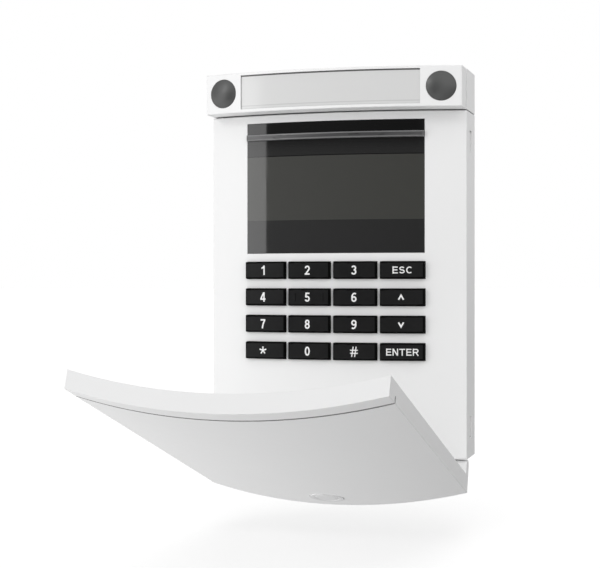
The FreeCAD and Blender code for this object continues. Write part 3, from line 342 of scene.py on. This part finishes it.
def button_grey():
    return moulded("button_grey", (0.03, 0.031, 0.03), (0.026, 0.027, 0.027), roughness=0.43,
                   grain=0.2 * MM, depth=0.0015 * MM, edge=0.1 * MM, Specular_IOR_Level=1.0)


STRIP_LOW, STRIP_HIGH, STRIP_SOFT = 0.9 * MM, 1.3 * MM, 0.2 * MM   # up from the pane's foot
TOP_SHADOW_START, TOP_SHADOW_FULL = 0.5 * MM, 0.4 * MM       # a painted shadow, down from its top
ETCH_SHARE, STRIP_SHARE = 0.08, 0.6


def frosted_window():
    """A light grey pane etched behind, with a painted shadow along its top and a shaded strip below."""
    low, high = (corner.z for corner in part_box("segment_window"))
    look = Look("frosted_window", (0.66, 0.66, 0.658), 0.13, IOR=1.5)
    etched = look.noise(0.3 * MM, 3.0)
    cloud = look.noise(30 * MM, 2.0)
    strip = look.between(look.axis("Z"), low + STRIP_LOW, low + STRIP_HIGH, STRIP_SOFT)
    top_shadow = look.ramp(look.axis("Z"), high - TOP_SHADOW_START, high - TOP_SHADOW_FULL)
    shade = look.mix(cloud, (0.67, 0.67, 0.668), (0.69, 0.69, 0.688))
    shade = look.mix(look.math("MULTIPLY", etched, ETCH_SHARE), shade, (0.6, 0.6, 0.6))
    shade = look.mix(look.math("MULTIPLY", strip, STRIP_SHARE), shade, (0.5, 0.5, 0.5))
    # The dark band along the pane's top edge is a painted shadow.
    look.set(
        Base_Color=look.mix(top_shadow, shade, (0.12, 0.12, 0.12)),
        Roughness=look.follow(etched, 0.1, 0.16),
        Normal=look.bump(etched, 0.001 * MM, look.rounded(0.1 * MM)),
    )
    return look


def badge_silver():
    """Pearl paint: fine bright flakes under a satin clear coat."""
    look = Look("badge_silver", (0.94, 0.94, 0.945), 0.3, Coat_Weight=0.5)
    flakes = look.cells(0.12 * MM)
    look.set(
        Base_Color=look.mix(look.ramp(flakes, 0.1, 0.6), (0.96, 0.96, 0.965), (0.91, 0.91, 0.915)),
        Roughness=look.follow(look.noise(1.5 * MM, 2.0), 0.3, 0.42),
        Normal=look.bump(flakes, 0.002 * MM, look.rounded(0.12 * MM)),
    )
    return look


def silicone():
    """Soft rubber with a dusty bloom."""
    look = Look("silicone", (0.1, 0.1, 0.1), 0.7, IOR=1.42)
    bloom = look.ramp(look.noise(1.2 * MM, 4.0), 0.55, 0.75)
    dust = look.math("MULTIPLY", bloom, 0.35)
    look.set(
        Base_Color=look.mix(dust, (0.085, 0.085, 0.086), (0.2, 0.2, 0.2)),
        Roughness=look.ramp(bloom, 0.0, 1.0, 0.62, 0.82),
        Normal=look.bump(look.noise(0.25 * MM, 3.0), 0.01 * MM),
    )
    return look


def bumper_clear():
    """Milky soft plastic that lets some light through."""
    look = Look("bumper_clear", (0.8, 0.8, 0.79), 0.35, IOR=1.45, Transmission_Weight=0.25)
    haze = look.noise(0.8 * MM, 3.0)
    look.set(
        Base_Color=look.mix(look.follow(haze), (0.76, 0.76, 0.75), (0.84, 0.84, 0.83)),
        Roughness=look.follow(haze, 0.28, 0.42),
        Normal=look.bump(haze, 0.004 * MM, look.rounded(0.15 * MM)),
    )
    return look


def plated(name, bright, dull, roughness, grain):
    """Metal with a plated skin: small crystals, and fine scratches along the height."""
    look = Look(name, bright, roughness, Metallic=1.0)
    crystals = look.cells(grain)
    scratches = look.noise(0.15 * MM, 2.0, look.stretched(1.0, 1.0, 0.1))
    look.set(
        Base_Color=look.mix(look.ramp(crystals, 0.1, 0.7), bright, dull),
        Roughness=look.follow(scratches, roughness - 0.08, roughness + 0.1),
        Normal=look.bump(scratches, 0.003 * MM),
    )
    return look


def screw_steel():
    return plated("screw_steel", (0.68, 0.68, 0.67), (0.55, 0.56, 0.58), roughness=0.3, grain=0.3 * MM)


def magnet_nickel():
    return plated("magnet_nickel", (0.74, 0.73, 0.7), (0.64, 0.63, 0.6), roughness=0.18,
                  grain=0.2 * MM)


def chip_black():
    return moulded("chip_black", (0.035, 0.035, 0.036), (0.026, 0.026, 0.027), roughness=0.55,
                   grain=0.12 * MM, depth=0.006 * MM, edge=0.12 * MM)


def terminal_green():
    return moulded("terminal_green", (0.03, 0.32, 0.1), (0.022, 0.26, 0.08), roughness=0.4,
                   grain=0.25 * MM, depth=0.006 * MM, edge=0.15 * MM)


def circuit_board():
    """Green solder mask over tracks, with tinned dots."""
    look = Look("circuit_board", (0.015, 0.13, 0.045), 0.3, IOR=1.5)
    tracks = look.between(look.cells(3.2 * MM, "DISTANCE_TO_EDGE"), 0.08, 0.16, 0.02)
    pads = look.ramp(look.cells(2.4 * MM), 0.16, 0.13, 0.0, 1.0)
    board = look.mix(tracks, (0.013, 0.12, 0.042), (0.03, 0.2, 0.07))
    look.set(
        Base_Color=look.mix(pads, board, (0.62, 0.62, 0.6)),
        Roughness=look.follow(look.noise(4 * MM, 2.0), 0.25, 0.35),
        Normal=look.bump(tracks, 0.02 * MM),
    )
    return look


def printed_film():
    """Amber film with copper tracks along its length."""
    look = Look("flex_film", (0.5, 0.26, 0.06), 0.35)
    phase = look.math("FRACT", look.math("DIVIDE", look.axis("X"), 1.0 * MM))
    tracks = look.between(phase, 0.3, 0.7, 0.1)
    look.set(
        Base_Color=look.mix(tracks, (0.42, 0.2, 0.04), (0.62, 0.34, 0.12)),
        Roughness=look.follow(look.noise(2 * MM), 0.3, 0.42),
        Normal=look.bump(tracks, 0.02 * MM),
    )
    return look


def display_glass():
    """The unlit display itself: a grey-green polariser with its grid of dots."""
    look = Look("lcd_grey", (0.05, 0.052, 0.045), 0.12)
    gaps = look.math("MULTIPLY", dot_gaps(look), BARE_GAPS)
    cloud = look.mix(look.noise(15 * MM), (0.046, 0.048, 0.041), (0.056, 0.058, 0.05))
    look.set(
        Base_Color=look.mix(gaps, cloud, (0.02, 0.02, 0.018)),
        Roughness=look.follow(look.noise(5 * MM), 0.08, 0.16),
    )
    return look


def diffuser():
    """Milky sheet with a fine dot pattern."""
    look = Look("lcd_backlight", (0.74, 0.74, 0.72), 0.6)
    dots = look.cells(0.6 * MM)
    look.set(
        Base_Color=look.mix(look.ramp(dots, 0.1, 0.5), (0.8, 0.8, 0.78), (0.7, 0.7, 0.68)),
        Roughness=look.ramp(dots, 0.0, 0.8, 0.5, 0.65),
        Normal=look.bump(dots, 0.01 * MM),
    )
    return look


def copper_track():
    """Bright copper track, tarnished brown in patches."""
    look = plated("copper", (0.78, 0.42, 0.25), (0.62, 0.3, 0.16), roughness=0.34, grain=0.4 * MM)
    tarnish = look.ramp(look.noise(4 * MM, 4.0), 0.45, 0.7)
    look.set(Base_Color=look.mix(tarnish, (0.78, 0.42, 0.25), (0.4, 0.2, 0.11)))
    return look


def label_paper():
    """Uncoated card: short fibres and a slight tooth."""
    look = Look("label_paper", (0.88, 0.88, 0.86), 0.85)
    fibres = look.noise(0.4 * MM, 4.0, look.stretched(0.3, 1.0, 1.0))
    look.set(
        Base_Color=look.mix(look.follow(fibres), (0.85, 0.85, 0.83), (0.9, 0.9, 0.885)),
        Roughness=look.follow(fibres, 0.8, 0.92),
        Normal=look.bump(fibres, 0.008 * MM),
    )
    return look


def lamp_lens():
    """Clear epoxy over a warm phosphor, brighter in cloudy spots."""
    look = Look("led_lens", (0.82, 0.74, 0.5), 0.14, IOR=1.53)
    cloud = look.noise(0.9 * MM, 3.0)
    look.set(
        Base_Color=look.mix(look.follow(cloud), (0.86, 0.84, 0.74), (0.82, 0.68, 0.36)),
        Roughness=look.follow(cloud, 0.1, 0.2),
    )
    return look


def legend_print():
    """White ink, slightly uneven, with a touch of relief."""
    look = Look("legend_print", (0.86, 0.86, 0.86), 0.45)
    ink = look.noise(0.35 * MM, 3.0)
    look.set(
        Base_Color=look.mix(look.ramp(ink, 0.25, 0.75), (0.78, 0.78, 0.78), (0.9, 0.9, 0.9)),
        Roughness=look.follow(ink, 0.38, 0.52),
        Normal=look.bump(ink, 0.004 * MM),
    )
    return look


# The function that makes the material of each of the record's slots.
LOOKS = {
    "white_shell": white_shell,
    "white_inner": white_inner,
    "display_gloss": display_gloss,
    "rail_dark": rail_dark,
    "lcd_grey": display_glass,
    "lcd_backlight": diffuser,
    "flex_film": printed_film,
    "silicone": silicone,
    "bumper_clear": bumper_clear,
    "circuit_board": circuit_board,
    "screw_steel": screw_steel,
    "chip_black": chip_black,
    "copper": copper_track,
    "terminal_green": terminal_green,
    "frosted_window": frosted_window,
    "label_paper": label_paper,
    "led_lens": lamp_lens,
    "key_black": key_black,
    "button_grey": button_grey,
    "magnet_nickel": magnet_nickel,
    "badge_silver": badge_silver,
}


def paint_nodes():
    """Gives each CAD node the material of its slot, and the flap's shell the one with painted shade in its groove.
    """
    materials = {slot: make().material for slot, make in LOOKS.items()}
    for part in frame["record"]["subparts"]:
        for slot in NODES[part["node"]].material_slots:
            slot.material = materials[part["material_slot"]]
    NODES["flap_shell"].material_slots[0].material = flap_white().material


# ---------------------------------------------------------------- key legends

INK_FRONT = 0.035 * MM       # the print stands this far out of its key
INK_BACK = 0.02 * MM         # and is sunk this far into it
INK_STEP = 0.004 * MM        # each further stroke of a legend lies this much higher, over the last
ARC_STEP = 12                # degrees between an arc's points, or a little more or less


def arc(x, y, wide, tall, start, end):
    """Points along part of an ellipse about (x, y), from one angle in degrees to another."""
    steps = max(3, round(abs(end - start) / ARC_STEP))
    turns = [math.radians(start + (end - start) * step / steps) for step in range(steps + 1)]
    return [(x + wide * math.cos(turn), y + tall * math.sin(turn)) for turn in turns]


SIX = [arc(0.3, 0.32, 0.2, 0.22, 0, 360), arc(0.36, 0.5, 0.26, 0.4, 185, 55)]

# For each character of height 1: its width, and the middle lines of its strokes.
GLYPHS = {
    "0": (0.6, [arc(0.3, 0.5, 0.2, 0.4, 0, 360)]),
    "1": (0.46, [[(0.36, 0), (0.36, 1)], [(0.06, 0.7), (0.22, 0.78), (0.36, 0.95)]]),
    "2": (0.6, [arc(0.3, 0.68, 0.2, 0.22, 175, -30) + [(0.14, 0.12)], [(0.02, 0.1), (0.56, 0.1)]]),
    "3": (0.6, [arc(0.28, 0.71, 0.19, 0.19, 160, -90), arc(0.28, 0.31, 0.21, 0.21, 90, -160)]),
    "4": (0.6, [[(0.42, 0), (0.42, 1)], [(0.38, 0.97), (0.07, 0.33)], [(0, 0.28), (0.6, 0.28)]]),
    "5": (0.6, [[(0.1, 0.9), (0.54, 0.9)], [(0.19, 0.97), (0.13, 0.48)],
                arc(0.29, 0.33, 0.21, 0.23, 140, -160)]),
    "6": (0.6, SIX),
    "7": (0.6, [[(0.03, 0.9), (0.57, 0.9)], [(0.5, 0.86), (0.33, 0.5), (0.22, 0)]]),
    "8": (0.6, [arc(0.3, 0.71, 0.17, 0.19, 0, 360), arc(0.3, 0.3, 0.2, 0.21, 0, 360)]),
    "9": (0.6, [[(0.6 - x, 1 - y) for x, y in line] for line in SIX]),
    "C": (0.86, [arc(0.46, 0.5, 0.36, 0.4, 48, 312)]),
    "E": (0.74, [[(0.1, 0), (0.1, 1)], [(0.1, 0.1), (0.74, 0.1)], [(0.1, 0.51), (0.68, 0.51)],
                 [(0.1, 0.9), (0.72, 0.9)]]),
    "N": (0.81, [[(0.1, 0), (0.1, 1)], [(0.13, 0.95), (0.68, 0.05)], [(0.71, 0), (0.71, 1)]]),
    "R": (0.86, [[(0.1, 0), (0.1, 1)],
                 [(0.1, 0.9), (0.5, 0.9)] + arc(0.52, 0.69, 0.2, 0.21, 78, -78)
                 + [(0.5, 0.48), (0.1, 0.48)],
                 [(0.45, 0.48), (0.76, 0)]]),
    "S": (0.8, [arc(0.4, 0.705, 0.27, 0.195, 20, 270)
                + arc(0.4, 0.305, 0.29, 0.205, 90, -160)[1:]]),
    "T": (0.8, [[(0, 0.9), (0.8, 0.9)], [(0.4, 0), (0.4, 0.9)]]),
}
LETTER_STROKE = 0.155        # shares of the letters' height
LETTER_SPACE = 0.14
DIGIT_TALL = 3.7 * MM
ESC_TALL, ESC_WIDE = 2.75 * MM, 7.6 * MM
ENTER_TALL, ENTER_WIDE = 2.7 * MM, 12.4 * MM
STAR_ARM, STAR_STROKE = 1.5 * MM, 0.52 * MM
HASH_STROKE = 0.4 * MM
CHEVRON_STROKE = 0.56 * MM
LEGEND_SHIFT = -0.22 * MM    # each legend stands this far along X from its key's middle
LEGEND_SPREAD = 0.019        # and their columns this share further apart than the keys' columns,
UNSPREAD = "up", "down"      # apart from the arrows
CLOSED = 1e-9                # a line whose ends are nearer than this is a loop
SAME_POINT = 1e-8            # corners nearer than this are joined into one
MITRE_LEAST = 0.4            # keeps the outside of a sharp corner short
RAY_START = 5 * MM           # the search for a key's front starts this far before it


def written(text, height, width=None):
    """The middle lines of a text of this height, centred on the origin, and their stroke."""
    lines, reach = [], 0.0
    for letter in text:
        wide, strokes = GLYPHS[letter]
        lines += [[(reach + x, y) for x, y in line] for line in strokes]
        reach += wide + LETTER_SPACE
    reach -= LETTER_SPACE
    across = height if width is None else width / reach
    placed = [[((x - reach / 2) * across, (y - 0.5) * height) for x, y in line] for line in lines]
    return placed, LETTER_STROKE * height


def star():
    """Five arms from the middle, the first straight up."""
    turns = [math.tau * arm / 5 + math.pi / 2 for arm in range(5)]
    lines = [[(0, 0), (STAR_ARM * math.cos(turn), STAR_ARM * math.sin(turn))] for turn in turns]
    return lines, STAR_STROKE


def hash_sign():
    """Two leaning uprights, crossed by two level bars."""
    lean, tall, wide, apart = 0.3 * MM, 1.95 * MM, 1.5 * MM, 0.58 * MM
    lines = [[(way * apart - lean, -tall), (way * apart + lean, tall)] for way in (-1, 1)]
    lines += [[(-wide, way * apart), (wide, way * apart)] for way in (-1, 1)]
    return lines, HASH_STROKE


def chevron(way):
    """An arrow head that points up (1) or down (-1)."""
    half, foot, tip = 0.95 * MM, -0.9 * MM, 0.8 * MM
    return [[(-half, foot * way), (0, tip * way), (half, foot * way)]], CHEVRON_STROKE


# The middle lines and the stroke of every legend that isn't a digit.
SIGNS = {
    "esc": written("ESC", ESC_TALL, ESC_WIDE),
    "enter": written("ENTER", ENTER_TALL, ENTER_WIDE),
    "star": star(),
    "hash": hash_sign(),
    "up": chevron(1),
    "down": chevron(-1),
}


def ribbon(line, wide):
    """The left and right edge points of a stroke along a line, with mitred corners."""
    points = [Vector(point) for point in line]
    closed = (points[0] - points[-1]).length < CLOSED
    runs = [(end - start).normalized() for start, end in zip(points, points[1:])]
    edges = []
    for step, point in enumerate(points):
        before = runs[step - 1] if step or closed else runs[0]
        after = runs[step] if step < len(runs) else (runs[0] if closed else runs[-1])
        middle = (before + after).normalized()
        across = Vector((-middle.y, middle.x)) * (wide / 2 / max(MITRE_LEAST, middle.dot(after)))
        edges.append((point + across, point - across))
    return edges


def print_legend(key, ink):
    """Lays a legend's strokes on its key's curved front, each a thin closed strip."""
    cap = NODES[f"key_{key}"]
    low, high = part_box(cap.name)
    middle = (low + high) / 2
    middle.x += LEGEND_SHIFT + (0 if key in UNSPREAD else LEGEND_SPREAD * middle.x)
    lines, wide = SIGNS[key] if key in SIGNS else written(key, DIGIT_TALL)
    mesh = bmesh.new()

    def corner(point, out):
        start = Vector((middle.x + point.x, low.y - RAY_START, middle.z + point.y))
        hit = cap.ray_cast(start, Vector((0, 1, 0)))[1]
        return mesh.verts.new((start.x, hit.y - out, start.z))

    for number, line in enumerate(lines):
        front = INK_FRONT + number * INK_STEP
        rings = [(corner(left, front), corner(right, front), corner(right, -INK_BACK),
                  corner(left, -INK_BACK)) for left, right in ribbon(line, wide)]
        closed = math.dist(line[0], line[-1]) < CLOSED
        for ring, following in zip(rings, rings[1:]):
            for side in range(4):
                turn = (side + 1) % 4
                mesh.faces.new((ring[side], ring[turn], following[turn], following[side]))
        if not closed:
            mesh.faces.new(rings[0])
            mesh.faces.new(rings[-1])
    bmesh.ops.remove_doubles(mesh, verts=mesh.verts, dist=SAME_POINT)
    bmesh.ops.recalc_face_normals(mesh, faces=mesh.faces)
    data = bpy.data.meshes.new(f"legend_{key}")
    mesh.to_mesh(data)
    mesh.free()
    data.materials.append(ink)
    piece = bpy.data.objects.new(f"legend_{key}", data)
    bpy.context.scene.collection.objects.link(piece)
    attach(piece, f"key_{key}")


def print_legends():
    ink = legend_print().material
    for name in sorted(NODES):
        if name.startswith("key_"):
            print_legend(name.removeprefix("key_"), ink)


# ---------------------------------------------------------------- studio

FLOOR_BELOW = 0.011          # the floor lies this far under the object, which hangs on a wall
FLOOR_SIZE = 40.0
FLOOR_TONE, FLOOR_UNEVEN = 0.3, 0.005
FLOOR_GLOW = 0.65
ABOVE_TILT = math.radians(28)          # the floor's own light comes this much from the front,
ABOVE_SPREAD = math.radians(50)        # is this wide, seen from the floor,
ABOVE_STRENGTH = 1.2                   # and is this strong, in watts per square metre

# Each lamp's place, the point it faces, its two sides, and its face's radiance.
LEFT_LAMP = (-1.098, -1.22, 0.12), (0, 0, 0.06), (0.42, 0.44), 2.6
LOW_LAMP = (-0.25, -0.2, -0.2), (0, -0.07, -0.06), (0.15, 0.15), 2.7
HIGH_LAMP = (-0.95, -1.35, 0.75), (0, 0, 0.07), (0.5, 0.5), 6.0
BACK_LAMP = (-0.6, 1.4, 0.5), (0, 0, 0), (1.0, 1.0), 2.4
FLAP_OUTSIDE = "flap_shell", "flap_pull_trim", "flap_badge"

CAMERA_PLACE = (0.1386, -0.5171, 0.0006)
CAMERA_TURN = 0.259          # radians to the left of straight ahead
CAMERA_LENS = 80.0
CAMERA_SHIFT = (-0.0881, -0.0012)


def lay_floor():
    """A pale, glowing table top, kept out of soft light, reflections and shadows on the object."""
    look = Look("floor", (FLOOR_TONE,) * 3, 0.9, Emission_Color=(1, 1, 1, 1),
                Emission_Strength=FLOOR_GLOW)
    darker, paler = (FLOOR_TONE - FLOOR_UNEVEN,) * 3, (FLOOR_TONE + FLOOR_UNEVEN,) * 3
    look.set(Base_Color=look.mix(look.noise(0.4), darker, paler))
    mesh = bmesh.new()
    bmesh.ops.create_grid(mesh, x_segments=8, y_segments=8, size=FLOOR_SIZE / 2)
    data = bpy.data.meshes.new("floor")
    mesh.to_mesh(data)
    mesh.free()
    data.materials.append(look.material)
    floor = bpy.data.objects.new("floor", data)
    floor.location = (0, 0, LOWEST.z - FLOOR_BELOW)
    floor.visible_diffuse = floor.visible_glossy = floor.visible_shadow = False
    bpy.context.scene.collection.objects.link(floor)
    return floor


def flag(lamp, objects, state):
    """Keeps a lamp's light to these objects (INCLUDE) or off them (EXCLUDE), not their shadows."""
    receivers = bpy.data.collections.new(f"{lamp.name}_flag")
    for receiver in objects:
        receivers.objects.link(receiver)
    for linked in receivers.collection_objects:
        linked.light_linking.link_state = state
    lamp.light_linking.receiver_collection = receivers


def softbox(name, place, towards, size, radiance):
    """A rectangular light of this size, whose face has this radiance."""
    light = bpy.data.lights.new(name, "AREA")
    light.shape = "RECTANGLE"
    light.size, light.size_y = size
    light.energy = radiance * math.pi * size[0] * size[1]
    lamp = bpy.data.objects.new(name, light)
    lamp.location = place
    lamp.rotation_euler = (Vector(towards) - Vector(place)).to_track_quat("-Z", "Y").to_euler()
    lamp.visible_camera = False
    bpy.context.scene.collection.objects.link(lamp)
    return lamp


def light_floor(floor):
    """Light from above and in front, for the floor alone: it makes the object's soft shadow there."""
    light = bpy.data.lights.new("above", "SUN")
    light.energy = ABOVE_STRENGTH
    light.angle = ABOVE_SPREAD
    lamp = bpy.data.objects.new("above", light)
    bpy.context.scene.collection.objects.link(lamp)
    lamp.rotation_euler = (ABOVE_TILT, 0, 0)
    flag(lamp, [floor], "INCLUDE")


def set_lights(floor):
    """Lamps at the left and behind; one below for the flap alone, and one above for all but it."""
    flap = [NODES[name] for name in FLAP_OUTSIDE]
    softbox("left", *LEFT_LAMP)
    flag(softbox("low", *LOW_LAMP), flap, "INCLUDE")
    flag(softbox("high", *HIGH_LAMP), flap, "EXCLUDE")
    flag(softbox("back", *BACK_LAMP), [floor], "EXCLUDE")
    light_floor(floor)


DOME_ABOVE = 0.92, (0.3, -0.3, 0)      # radiance in the middle, and its rise along each axis
DOME_BELOW = 0.62, (-0.6, -0.6, 0)
DOME_LEAST = 0.05
HORIZON = 0.03               # half the height of the soft step between the two domes
DARK_CENTRE = (-0.259, -0.965, 0.03)   # a dark cloth in front, mirrored by the display and the keys
DARK = 0.18
DARK_EDGE = math.cos(math.radians(28)), math.cos(math.radians(22))


def set_world():
    """White to the camera; for light and reflections a dome, dimmer below, most so at the right."""
    world = bpy.data.worlds.new("studio")
    bpy.context.scene.world = world
    world.use_nodes = True
    tree = world.node_tree
    tree.nodes.clear()
    way = add_node(tree, "TexCoord").outputs["Generated"]

    def half_dome(middle, rise):
        tilt = add_node(tree, "VectorMath", {0: way, 1: rise}, operation="DOT_PRODUCT")
        level = add_node(tree, "Math", {0: tilt.outputs["Value"], 1: middle}, operation="ADD").outputs[0]
        return add_node(tree, "Math", {0: level, 1: DOME_LEAST}, operation="MAXIMUM").outputs[0]

    height = add_node(tree, "SeparateXYZ", {0: way}).outputs["Z"]
    share = add_node(tree, "MapRange", {0: height, 1: -HORIZON, 2: HORIZON},
                     interpolation_type="SMOOTHSTEP")
    dome = add_node(tree, "Mix", {0: share.outputs[0], 2: half_dome(*DOME_BELOW),
                                  3: half_dome(*DOME_ABOVE)})
    near = add_node(tree, "VectorMath", {0: way, 1: DARK_CENTRE}, operation="DOT_PRODUCT")
    cloth = add_node(tree, "MapRange", {0: near.outputs["Value"], 1: DARK_EDGE[0], 2: DARK_EDGE[1]},
                     interpolation_type="SMOOTHSTEP")
    seen = add_node(tree, "Mix", {0: cloth.outputs[0], 2: dome.outputs[0], 3: DARK})
    light = add_node(tree, "Background", {"Color": (1, 1, 1, 1), "Strength": seen.outputs[0]})
    white = add_node(tree, "Background", {"Color": (1, 1, 1, 1), "Strength": 1.0})
    ray = add_node(tree, "LightPath").outputs["Is Camera Ray"]
    choose = add_node(tree, "MixShader", {0: ray, 1: light.outputs[0], 2: white.outputs[0]})
    add_node(tree, "OutputWorld", {0: choose.outputs[0]})


def set_camera():
    data = bpy.data.cameras.new("camera")
    data.lens = CAMERA_LENS
    data.shift_x, data.shift_y = CAMERA_SHIFT
    data.clip_start = 0.01
    camera = bpy.data.objects.new("camera", data)
    camera.location = CAMERA_PLACE
    camera.rotation_euler = Euler((math.pi / 2, 0, CAMERA_TURN))
    bpy.context.scene.collection.objects.link(camera)
    bpy.context.scene.camera = camera


paint_nodes()
print_legends()
set_lights(lay_floor())
set_world()
set_camera()
bpy.context.scene.view_settings.view_transform = "Standard"
